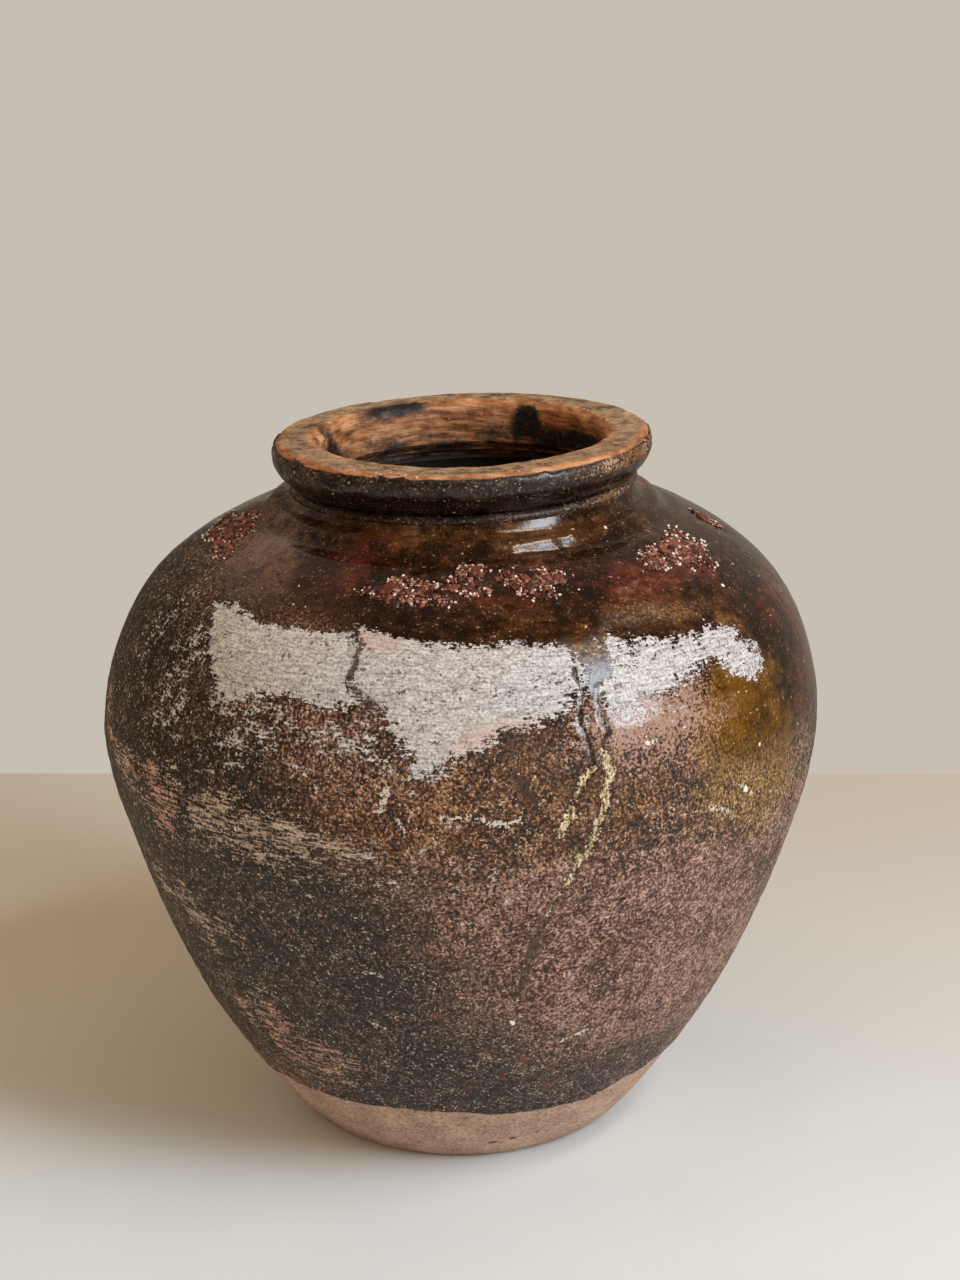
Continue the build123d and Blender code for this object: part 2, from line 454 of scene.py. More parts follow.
def between_seams(line, turns, step, offset=0.0, downwards=False):
    """Rows between the level belly seam and the tilted seam below the neck, in each direction."""
    turn = np.arange(turns) * 2 * math.pi / turns
    start = seam_allowance - lean_slope * belly_radius * np.cos(turn)
    end = neck_climb + (neck_slope - lean_slope) * neck_radius * np.cos(turn)
    share = np.linspace(0, 1, round((neck_climb - seam_allowance) / step) + 1)
    if downwards:
        share = share[::-1]
    climb = start + (end - start) * share[:, None]
    rows = along(line, climb, offset)
    return np.concatenate([rows, climb[..., None] - seam_allowance + belly_climb], axis=-1)


shoulder_out = between_seams(upper_line, clay_turns, shoulder_row_step, -under_coat)
shoulder_in = between_seams(upper_line, clay_turns, inner_row_step, -clay_wall, True)
shoulder_sides = [(shoulder_out, still), (shoulder_in, finger_rings)]
shoulder, shoulder_grid = turned("upper_wall_clay", shoulder_sides, clay_turns, sagged)
slipped_and_shaded(shoulder, shoulder_grid, len(shoulder_in))
dressed(shoulder, bare_clay, "upper_wall")

# Neck collar. A short ring of clay that joins the shoulder to the rim, set on a little askew. Its
# bore is the throat of the jar, fired to an orange brown where no glaze ran, and painted darker all
# round as the shade deep in the throat.
collar_height = 4.5 * mm
bead_radius = neck_radius + 1.2 * mm
groove_radius = neck_radius - 3.0 * mm
throat_radius = neck_radius - 12.8 * mm
bead_crest_share = 0.56
rim_turns = 560
collar_row_step = 1.0 * mm
bore_row_step = 0.8 * mm


def set_askew(places):
    """The neck and rim on their tilted seam, higher on the right."""
    tilt = math.atan(neck_slope)
    out, up = places[..., 0], places[..., 2]
    slid = shoulder_drift + out * math.cos(tilt) - up * math.sin(tilt)
    raised = belly_height + shoulder_rise + out * math.sin(tilt) + up * math.cos(tilt)
    return np.stack([slid, places[..., 1], raised], axis=-1)


def throat_relief(places, front, climb):
    """Wiped clay: shallow horizontal strokes and a few lumps."""
    strokes = places * (1, 1, 6)
    return 0.25 * mm * clouds(strokes, 12 * mm, 31, 3) + 0.35 * mm * lumps(places, 16 * mm, 34)


def scorched_throat():
    """Clay of the throat and lip: orange brown where worn, dull brown or black under ash and glaze.

    Deep in the throat and round the inside of its right wall it is painted dark as the shade there.
    """
    material, tree, place = new_material("orange_fired_clay")
    drawn = node(tree, "Mapping", place, links={"Scale": (1, 1, 6)})
    strokes = node(tree, "TexNoise", drawn, 1 / (12 * mm), 5.0, 0.65)
    body = node(tree, "TexNoise", place, 1 / (9 * mm), 5.0, 0.6)
    fine = node(tree, "TexNoise", place, 1 / (2.2 * mm), 3.0, 0.6)
    tone = worked(tree, (strokes, 0.7), (body, 0.3))
    throat_stops = ((0.36, "#54321c"), (0.46, "#96623c"), (0.55, "#be895e"), (0.68, "#d3ad86"))
    film_stops = ((0.34, "#4a3926"), (0.44, "#7a6148"), (0.55, "#a3886b"), (0.70, "#c4aa8a"))
    orange_stops = ((0.36, "#6e4026"), (0.50, "#a5714c"), (0.64, "#c8a383"), (0.74, "#e4d2bf"))
    soot_and_shade_stops = ((0.36, "#0d0907"), (0.56, "#241a14"), (0.70, "#4a3c31"))
    throat = node(tree, "ValToRGB", tone, stops=throat_stops)
    film = node(tree, "ValToRGB", worked(tree, (body, 0.6), (fine, 0.4)), stops=film_stops)
    orange = node(tree, "ValToRGB", fine, stops=orange_stops)
    soot_and_shade = node(tree, "ValToRGB", fine, stops=soot_and_shade_stops)
    film = laid(tree, film, "#3a2a1a", worked(tree, (body, 0.7), (fine, 0.3)), 0.47, 0.38, 0.7)
    colour = laid(tree, throat, film, ragged(tree, "film", (fine, 0.8), (body, 1.2)), 0.40, 0.60)
    colour = laid(tree, colour, orange, ragged(tree, "worn", (fine, 1.3), (body, 1.5)), 0.46, 0.60)
    # Soot and drips darken the clay, and so does painted shade deep in the throat and inside its right wall.
    colour = laid(tree, colour, soot_and_shade, ragged(tree, "soot_and_shade", (fine, 0.5), (body, 0.9)), 0.30, 0.74)
    colour = laid(tree, colour, "#cbb59b", fine, 0.70, 0.74, 0.8)
    rough = node(tree, "MapRange", body, 0.3, 0.7, 0.42, 0.75)
    surfaced(tree, colour, rough, worked(tree, (fine, 1.0), (strokes, 1.0)), 0.4 * mm)
    return material


bead_points = [
    (neck_radius, 0.0), (bead_radius, bead_crest_share * collar_height), (groove_radius, collar_height)
]
bead_line = smooth_line(bead_points, (0, 1), (-1, 0.2))
bead_climb = climb_of(bead_line)[-1]
bore_line = smooth_line([(neck_radius - clay_wall, 0.0), (throat_radius, collar_height)], (0, 1), (0, 1))
bore_climb = climb_of(bore_line)[-1]
orange_clay = scorched_throat()
collar_out = wall(bead_line, 0.0, bead_climb, collar_row_step, -under_coat)
collar_in = wall(bore_line, bore_climb, 0.0, bore_row_step)
collar_sides = [(collar_out, still), (collar_in, throat_relief)]
collar, collar_grid = turned("neck_collar_clay", collar_sides, rim_turns, set_askew)
# The whole bore is painted darker as the shade deep in the throat.
mark(collar, "soot_and_shade", np.full(collar_grid.shape[:2], 0.60))
dressed(collar, orange_clay, "neck_collar")

# Rolled rim. A thick roll of clay turned outwards over the groove, with a flat top. Handling wore its
# outer and inner edges through a thin dull film of glaze to orange clay, and chipped them.
rim_rise = 19.5 * mm
rim_radius = neck_radius + 8.0 * mm
mouth_bevel_width = 4.6 * mm
mouth_bevel_depth = 5.0 * mm
rim_top = collar_height + rim_rise
rim_outline_shares = ((0.0, 0.0), (0.44, 0.16), (0.78, 0.34), (1.0, 0.62), (0.95, 0.88), (0.74, 1.0))
rim_row_step = 0.75 * mm

# Chips in the outer edge and gouges in the mouth's edge: degrees from the front, depth in millimetres
lip_chips = (
    (-62, 1.0), (-48, 0.7), (-31, 0.5), (-12, 0.6), (5, 0.4), (38, 0.6), (57, 0.9), (112, 0.8),
    (-150, 1.0),
)
mouth_gouges = (
    (-104, 2.2), (-96, 1.8), (-88, 1.0), (-142, 0.9), (-158, 0.7), (-30, 0.5), (24, 0.5), (75, 0.6),
    (133, 0.8),
)
# A fold of clay dragged into the mouth, in degrees from the front
fold_bearing = -84

# How far a degree reaches round the rim's outer edge and round its mouth, and how wide their chips are
lip_degree = 1.45 * mm
mouth_degree = 1.15 * mm
chip_width = 2.2 * mm
gouge_width = 2.6 * mm
rim_points = [
    (groove_radius + out * (rim_radius - groove_radius), collar_height + up * rim_rise)
    for out, up in rim_outline_shares
]
rim_line = smooth_line(rim_points, (1, 0.4), (-1, 0))
rim_climb = climb_of(rim_line)[-1]
bevel_points = [
    (throat_radius + mouth_bevel_width, rim_top),
    (throat_radius + 0.3 * mouth_bevel_width, rim_top - 0.3 * mouth_bevel_depth),
    (throat_radius, rim_top - mouth_bevel_depth),
]
bevel_line = smooth_line(bevel_points, (-1, 0), (0, -1), 60)
lip_line = np.concatenate([rim_line, bevel_line, np.array([(throat_radius, collar_height)])])
# How far along the lip's line its flat top ends, at the bevel of the mouth
top_end = rim_climb + rim_line[-1, 0] - bevel_points[0][0]


def rim_lumps(places, front, climb):
    """The uneven roll: broad swells, small lumps and the chips along its worn edge."""
    swell = 0.55 * mm * clouds(places, 34 * mm, 41, 2) + 0.20 * mm * clouds(places, 6 * mm, 44, 3)
    chipped = np.zeros(climb.shape)
    mouth_edge = top_end + 1.5 * mm
    for at, depth in lip_chips:
        near = ((front - at) * lip_degree) ** 2 + (climb - rim_climb + 2 * mm) ** 2
        chipped += depth * mm * np.exp(-near / chip_width**2)
    for at, depth in mouth_gouges:
        near = ((front - at) * mouth_degree) ** 2 + (climb - mouth_edge - depth * mm) ** 2
        chipped += depth * mm * np.exp(-near / gouge_width**2)
    aside = front - fold_bearing
    dragged = (aside * mouth_degree / 2) ** 2 + (climb - mouth_edge - 7 * mm + aside * 0.35 * mm) ** 2
    return swell - chipped + 1.5 * mm * np.exp(-dragged / chip_width**2)


rim_out = wall(lip_line, 0.0, climb_of(lip_line)[-1], rim_row_step)
rim_sides = [(rim_out, rim_lumps)]
rim, rim_grid = turned("rim_roll_clay", rim_sides, rim_turns, set_askew, 2)
rim_front = np.broadcast_to(bearings(rim_turns), rim_grid.shape[:2])
rim_way = np.broadcast_to(rim_out[:, 2][:, None], rim_grid.shape[:2])
patchy = clouds(rim_grid, 15 * mm, 51, 3)


def hump(value, middle, half):
    """One at the middle of a range, falling smoothly to nothing at its ends."""
    share = np.clip(1 - np.abs(value - middle) / half, 0, 1)
    return share**2 * (3 - 2 * share)


def turned_by(front, middle):
    """Degrees from a bearing round the jar, whichever way is shorter."""
    return (front - middle + 180) % 360 - 180


outer_edge = hump(rim_way, rim_climb - 0.4 * mm, 2.2 * mm)
inner_edge = hump(rim_way, top_end + 0.6 * mm, 3.0 * mm)
on_top = hump(rim_way, (rim_climb + top_end) / 2, 12 * mm)
left_front = hump(turned_by(rim_front, -55), 0, 60)
rim_worn = (0.34 + 0.26 * left_front) * outer_edge + 0.36 * inner_edge + 0.46 * patchy
rim_worn += 0.20 * hump(turned_by(rim_front, -66), 0, 30) * on_top
soot_top = hump(turned_by(rim_front, -152), 0, 36) * hump(rim_way, top_end + 3 * mm, 11 * mm)
drip_left = hump(turned_by(rim_front, -108), 0, 12) * (rim_way > top_end)
drip_right = hump(turned_by(rim_front, 152), 0, 11) * hump(rim_way, top_end + 9 * mm, 12 * mm)
# Deeper into the mouth, and round its inside right wall, the clay is painted dark as the shade that falls
# there.
deep_throat_shade = np.clip((rim_way - top_end - 8 * mm) / (10 * mm), 0, 1)
below_edge = np.clip((rim_climb - 1.6 * mm - rim_way) / (1.6 * mm), 0, 1)
into_mouth = np.clip((rim_way - top_end - 3 * mm) / (12 * mm), 0, 1)
mark(rim, "film", on_top + 0.3 * patchy)
mark(rim, "worn", rim_worn)
drips_and_shade = 0.6 * drip_left + 0.90 * drip_right
drips_and_shade += 0.65 * hump(turned_by(rim_front, 118), 0, 46) * into_mouth
mark(rim, "soot_and_shade", 0.95 * soot_top + drips_and_shade + 0.5 * deep_throat_shade + 0.8 * below_edge + 0.10 * patchy)
dressed(rim, orange_clay, "rim_roll")

# Body glaze. Thin iron glaze over the lower half, poured and wiped, matt and gritty towards the foot.
# It stops above the bare foot in a wavering line and is worn to pale scuffs on the left.
glaze_thickness = 0.7 * mm
glaze_turns = 660
bare_foot_height = 35.0 * mm

# Height of the glaze's lower edge as a share of the bare foot's height, at equal steps from +X
glaze_line_shares = (
    1.14, 1.06, 1.01, 1.06, 1.11, 1.06, 0.97, 0.96, 1.03, 1.09, 1.04, 0.97,
    1.00, 1.03, 0.99, 1.05, 1.05, 1.07, 1.085, 1.00, 1.00, 1.16, 1.27, 1.23,
)

# Marks on the glaze: outlines in degrees round the jar from its front and millimetres up the wall
worn_outlines = (
    ((-55, 300), (-44, 301), (-38, 298), (-30, 299), (-21.5, 299), (-19, 290), (-17, 280), (-15, 271),
     (-16, 268), (-23, 268), (-31, 266), (-42, 262), (-48, 278)),
    ((-21, 303), (-12, 300), (1, 294), (18, 295), (20, 287), (22, 278), (20, 270), (16, 264), (8, 259),
     (4, 254), (-2, 245), (-6, 238), (-8, 243), (-10, 252), (-12, 263), (-15, 272), (-17, 282)),
)
flaked_outlines = (
    ((23, 296), (28, 294), (38, 287), (44, 285), (47, 288), (54, 283), (58, 271), (57, 262), (53, 258),
     (50, 264), (45, 273), (41, 270), (35, 265), (28, 261), (22, 264), (22, 273), (25, 281)),
)
sparse_outlines = (
    ((-68, 280), (-44, 262), (-12, 268), (-6, 240), (-12, 216), (-34, 216), (-62, 226)),
    ((-20, 216), (10, 214), (13, 184), (-24, 182)),
)
# The third outline, over the glare right of the split, is partly thin chalk film and partly painted sheen.
thin_and_sheen_outlines = (
    ((-71, 284), (-64, 304), (-49, 302), (-44, 262), (-42, 237), (-52, 230), (-62, 244), (-68, 262)),
    ((-46, 276), (-30, 280), (-12, 278), (-8, 250), (-7, 236), (-16, 238), (-28, 240), (-34, 226),
     (-43, 230)),
    ((14, 262), (18, 272), (26, 276), (35, 271), (43, 272), (36, 254), (26, 248)),
    ((-10, 250), (-4, 240), (6, 250), (16, 262), (10, 266), (0, 256)),
)
scuff_outlines = (
    ((-82, 246), (-72, 242), (-65, 224), (-54, 230), (-47, 225), (-42, 221), (-29, 224), (-24, 221),
     (-18, 216), (-12, 208), (-11, 198), (-21, 192), (-31, 192), (-44, 190), (-54, 190), (-62, 199),
     (-75, 222)),
    ((-62, 172), (-47, 166), (-40, 151), (-46, 129), (-55, 142), (-66, 156)),
    ((-52, 108), (-39, 119), (-33, 98), (-22, 84), (-24, 62), (-33, 64), (-44, 72), (-50, 88)),
    ((-76, 92), (-66, 76), (-62, 60), (-52, 36), (-66, 36), (-78, 60)),
)
# A pinkish white sheen right of the split: a painted reflection of the window in the glaze.
sheen_outlines = (((19, 266), (28, 276), (40, 270), (42, 250), (34, 238), (24, 240), (18, 252)),)
pink_outlines = (
    ((-60, 236), (-54, 229), (-47, 217), (-45, 191), (-52, 190), (-60, 214)),
    ((-23, 306), (-10, 302), (-8, 292), (-20, 292)),
    ((-82, 240), (-66, 220), (-72, 200), (-84, 215)),
    ((-80, 100), (-62, 78), (-50, 40), (-80, 36)),
    ((-50, 108), (-36, 112), (-22, 84), (-26, 60), (-46, 70)),
    ((0, 262), (16, 266), (10, 256), (-4, 244)),
)
rust_outlines = (
    ((-36, 340), (-34, 350), (-22, 350), (-14, 334), (-18, 322), (-28, 322)),
    ((-70, 330), (-48, 344), (-38, 326), (-52, 310)),
    ((8, 326), (34, 334), (58, 326), (66, 312), (50, 315), (24, 316), (6, 318)),
    ((64, 290), (86, 290), (92, 250), (80, 220), (68, 236)),
    ((-6, 192), (30, 204), (62, 184), (78, 120), (58, 58), (22, 66), (2, 92), (-6, 150)),
)
ochre_outlines = (
    ((43, 271), (54, 258), (62, 238), (66, 205), (56, 190), (42, 205), (37, 228), (38, 254)),
    ((14, 296), (24, 306), (42, 304), (51, 294), (45, 289), (26, 296)),
)
amber_outlines = (
    ((4, 312), (24, 322), (44, 314), (56, 302), (46, 280), (23, 284), (4, 290)),
    ((-34, 238), (-8, 240), (12, 254), (24, 262), (40, 240), (34, 205), (10, 196), (-12, 208), (-30, 216)),
)
brushed_outlines = (
    ((-120, 372), (-56, 366), (-40, 332), (-40, 302), (-60, 302), (-70, 284), (-120, 276)),
)
# The first outline reaches up the left edge to the shoulder, where its dark is partly painted shade of the
# jar's shaded left side.
char_and_shade_outlines = (
    ((-110, 326), (-76, 322), (-60, 306), (-42, 300), (-40, 262), (-22, 246), (-18, 214), (-7, 160),
     (7, 110), (26, 66), (-42, 56), (-100, 70)),
    ((-48, 350), (-37, 352), (-30, 331), (-37, 326)),
    ((-24, 92), (8, 98), (30, 90), (50, 76), (58, 54), (14, 34), (-34, 34)),
)
gloss_outlines = (
    ((-78, 390), (110, 390), (118, 300), (92, 226), (62, 214), (30, 236), (10, 256), (-8, 262),
     (-20, 296), (-58, 310)),
)
dull_outlines = (
    ((15, 283), (15, 298), (27, 298), (27, 283)), ((26, 297), (27, 309), (46, 307), (56, 295), (46, 289)),
)
# Where the wall split in the kiln: the split's two open strands, its two branches below, and closed cracks
splits = (
    ((18.6, 282), (19.6, 272), (18.2, 261), (19.4, 250), (18.8, 240)),
    ((22.8, 270), (21.6, 262), (22.9, 254), (21.2, 246)),
    ((18.8, 240), (17.2, 232), (16.6, 223), (14.6, 214)),
    ((21.2, 246), (22.4, 236), (21.6, 224), (19.6, 211), (17, 196), (15, 183), (14, 172)),
)
cracks = (
    ((-22, 306), (-20, 296), (-19, 288), (-16, 276), (-14, 268)),
    ((14, 172), (13, 160), (11, 148), (9, 132)),
    ((9, 240), (11, 234), (12, 226)),
)
scratches = (
    ((-11, 236), (-10, 231), (-11, 226)), ((-9, 222), (-8, 217)), ((-2, 223), (2, 224), (6, 220), (9, 222)),
    ((40, 214), (45, 208)), ((47, 217), (49, 213)), ((20, 98), (25, 103)), ((-16, 142), (-13, 141)),
    ((-17, 112), (-14, 109)), ((-48, 222), (-46, 221)), ((29, 246), (31, 247)), ((110, 190), (116, 196)),
    ((148, 232), (150, 222)), ((-140, 214), (-132, 210)), ((-120, 150), (-112, 156)),
)
# Spots: degrees from the front, millimetres up the wall, and size in millimetres
rust_spots = (
    (-4, 119, 4), (6, 94, 4), (13, 89, 4), (2, 70, 4), (22, 100, 3), (9, 78, 3), (-12, 75, 3), (20, 66, 5),
)
blisters = (
    (33, 353.3, 2.4), (45, 351, 1.8), (55, 338.5, 1.8), (14, 349, 1.2), (-6, 345, 1.0), (51, 309, 3.0),
)
matt_below = 232.0 * mm
bulge_under_neck = 353.0 * mm
neck_seam_climb = 364.0 * mm

# Millimetres to a degree round the wall: at its mean radius, low down where it rusted, and by the neck
mean_radius_share = 0.88
wall_degree = belly_radius / mm * math.radians(1) * mean_radius_share
rust_degree = 2.4
blister_degree = 1.45


def off_line(line, front, climb):
    """Millimetres from a place on the wall to a crack that runs through the given points."""
    x, y = front * wall_degree, climb / mm
    bends = [(angle * wall_degree, up) for angle, up in line]
    offs = []
    for (ax, ay), (bx, by) in zip(bends, bends[1:]):
        run, rise = bx - ax, by - ay
        share = np.clip(((x - ax) * run + (y - ay) * rise) / (run**2 + rise**2), 0, 1)
        offs.append(np.hypot(x - ax - share * run, y - ay - share * rise))
    return np.min(offs, axis=0)


def reach(outline, front, climb):
    """Millimetres that a place on the wall lies inside an outline, below zero outside it."""
    closed = outline + outline[:1]
    x, y = front * wall_degree, climb / mm
    inside = np.zeros(front.shape, bool)
    for (a, ay), (b, by) in zip(closed, closed[1:]):
        if ay != by:
            ax, bx = a * wall_degree, b * wall_degree
            inside ^= ((ay > y) != (by > y)) & (x < (bx - ax) * (y - ay) / (by - ay) + ax)
    nearest = off_line(closed, front, climb)
    return np.where(inside, nearest, -nearest)


def spread(outlines, front, climb, soft):
    """How far a place lies inside any of the outlines, from nothing through a half at the edge to one."""
    deepest = np.max([reach(outline, front, climb) for outline in outlines], axis=0)
    return np.clip(0.5 + deepest / (2 * soft), 0, 1)


def least(lines, front, climb):
    """Millimetres to the nearest of several cracks."""
    return np.min([off_line(line, front, climb) for line in lines], axis=0)


def strayed(places, front):
    """Bearings bent a little to and fro, so that a line drawn by them is torn and not ruled."""
    return front + 0.7 * lumps(places, 9 * mm, 76) + 0.7 * lumps(places, 4 * mm, 84)


def glaze_marks(places, front, climb):
    """Every mark of the glaze, worked out for the points of one coat."""
    bent = clouds(places, 16 * mm, 61, 3)
    dragged = clouds(places * (1, 1, 4), 24 * mm, 64, 3)
    wander = front + 2.0 * lumps(places, 22 * mm, 67) + 0.8 * lumps(places, 7 * mm, 73)
    rise = climb + 2.5 * mm * lumps(places, 18 * mm, 68) + 1.2 * mm * lumps(places, 7 * mm, 74)
    adrift = wander + 7 * lumps(places, 48 * mm, 78) + 3 * lumps(places, 15 * mm, 79)
    risen = rise + 9 * mm * lumps(places, 52 * mm, 80)
    behind = np.clip((np.abs(front) - 84) / 26, 0, 1)
    cloudy = clouds(places, 80 * mm, 71, 2)
    upper_back = behind * np.clip((risen - 225 * mm) / (55 * mm), 0, 1)
    glossy = np.clip(spread(gloss_outlines, adrift, risen, 24) + upper_back, 0, 1)
    glossy = glossy - 0.5 * spread(dull_outlines, wander, rise, 5)
    marks = {"gloss": glossy}
    rubbed = 1.15 - 0.24 * np.clip((wander - 2) / 16, 0, 1) - 0.10 * np.clip(bent, 0, 1)
    frayed = 4 + 6 * np.clip((282 * mm - climb) / (30 * mm), 0, 1)
    flaked = 0.86 * spread(flaked_outlines, wander, rise, 5)
    white = np.maximum(rubbed * spread(worn_outlines, wander, rise, frayed), flaked)
    thin = 0.44 * spread(thin_and_sheen_outlines, wander, rise, 12)
    thin = np.maximum(thin, 0.24 * spread(sparse_outlines[:1], wander, rise, 16))
    thin = np.maximum(thin, 0.36 * spread(sparse_outlines[1:], wander, rise, 16)) + 0.08 * dragged
    dark_bands = hump(wander, -45.5, 2.6) + hump(wander, -58, 3.5)
    marks["white"] = np.maximum(white, thin) - 0.10 - 0.30 * dark_bands
    scuff = 0.51 * spread(scuff_outlines, wander, rise, 9) + 0.12 * dragged - 0.16 * glossy
    back_scuff = np.clip(0.7 * clouds(places * (1, 1, 3), 60 * mm, 72, 2), 0, 0.5)
    scuff += behind * back_scuff * hump(climb, 150 * mm, 110 * mm)
    marks["scuff"] = scuff - 0.20 * dark_bands
    marks["pink"] = spread(pink_outlines, wander, rise, 7)
    rust = spread(rust_outlines, adrift, risen, 20) + 0.15 * bent
    marks["rust"] = rust + 0.5 * behind * np.clip(cloudy, 0, 1)
    ember = np.zeros(climb.shape)
    for at, up, size in rust_spots:
        near = ((front - at) * rust_degree) ** 2 + (climb / mm - up) ** 2
        ember = np.maximum(ember, np.exp(-near / size**2))
    marks["ember"] = ember
    # Painted sheen: the window's reflection right of the split.
    marks["sheen"] = 1.1 * spread(sheen_outlines, wander, rise, 16)
    ochre = 1.2 * spread(ochre_outlines[:1], adrift, rise, 13)
    ochre = np.maximum(ochre, 0.7 * spread(ochre_outlines[1:], adrift, rise, 13))
    marks["ochre"] = ochre + 0.12 * bent + 0.6 * behind * np.clip(-cloudy, 0, 1)
    under_neck = 0.7 * hump(climb, 356 * mm, 18 * mm)
    marks["amber"] = np.maximum(spread(amber_outlines, adrift, risen, 18), under_neck) + 0.2 * bent
    marks["brushed"] = spread(brushed_outlines, adrift, rise, 16) + 0.15 * dragged
    char_and_shade = spread(char_and_shade_outlines, adrift, risen, 28) + 0.12 * bent
    marks["char_and_shade"] = np.maximum(char_and_shade, behind * np.clip(0.45 + cloudy, 0, 1) * (1 - glossy))
    jagged = strayed(places, front)
    marks["split"] = 1 - least(splits, jagged, climb) / 8
    left_branch = 0.93 - least(splits[2:3], jagged, climb) / 8
    right_branch = 1 - least(splits[3:], jagged, climb) / 8
    thinning = 0.12 * np.clip((214 * mm - climb) / (30 * mm), 0, 1)
    marks["crust"] = np.maximum(left_branch, right_branch) - thinning
    crack = 1 - least(cracks, wander + 2.0 * lumps(places, 5 * mm, 81), climb) / 8
    marks["crack"] = crack - 0.06 * np.clip((200 * mm - climb) / (20 * mm), 0, 1)
    shaken = climb + 1.0 * mm * lumps(places, 4 * mm, 85)
    marks["scratch"] = 1 - least(scratches, jagged, shaken) / 4
    return marks


def glaze_skin(places, front, climb):
    """Relief of the fired glaze: dents, throwing rings, orange peel, pocks, splits and blisters."""
    calm = np.clip((neck_seam_climb - climb) / (8 * mm), 0, 1)
    waves = throwing_waves(places) + 0.16 * mm * lumps(places, 17 * mm, 75)
    peel = 0.10 * mm * clouds(places, 7 * mm, 63, 2)
    matt = np.clip((matt_below - climb) / (30 * mm), 0, 1)
    thrown = np.sin(2 * math.pi * climb / (7.5 * mm) + 3 * lumps(places, 50 * mm, 62))
    rings = 0.10 * mm * (0.3 + 0.7 * matt) * thrown
    gritty = 0.10 * mm * matt * clouds(places, 3.2 * mm, 65, 2)
    pocks = -2.0 * mm * np.clip(lumps(places, 5.5 * mm, 66) - 0.74, 0, 1)
    torn = least(splits, strayed(places, front), climb)
    lips = 0.6 * mm * np.exp(-(((torn - 2.6) / 1.6) ** 2)) * (0.7 + 0.5 * lumps(places, 6 * mm, 77))
    opened = lips - 0.6 * mm * np.exp(-((torn / 1.1) ** 2))
    closed = -0.35 * mm * np.exp(-((least(cracks, front, climb) / 1.4) ** 2))
    ridges = 2.4 * mm * hump(climb, bulge_under_neck, 7 * mm)
    ridges -= 0.9 * mm * hump(climb, bulge_under_neck - 9 * mm, 6.5 * mm)
    ridges += 0.7 * mm * hump(climb, bulge_under_neck + 13 * mm, 9 * mm)
    blistered = np.zeros(climb.shape)
    for at, up, size in blisters:
        near = np.hypot((front - at) * blister_degree, climb / mm - up) / size
        blistered += 0.35 * mm * size * (np.exp(-(near**2)) - 0.6 * np.exp(-((2 * near) ** 2)))
    return (waves + rings + peel) * calm + gritty + pocks * calm + opened + closed + ridges + blistered


def glaze_rise(front):
    """Height of the glaze's lower edge over the table, at each bearing round the jar."""
    heights = np.array(glaze_line_shares) * bare_foot_height
    step = (front - 90) % 360 / 360 * len(heights)
    before = np.floor(step).astype(int) % len(heights)
    share = step - np.floor(step)
    share = share**2 * (3 - 2 * share)
    return heights[before] * (1 - share) + heights[(before + 1) % len(heights)] * share


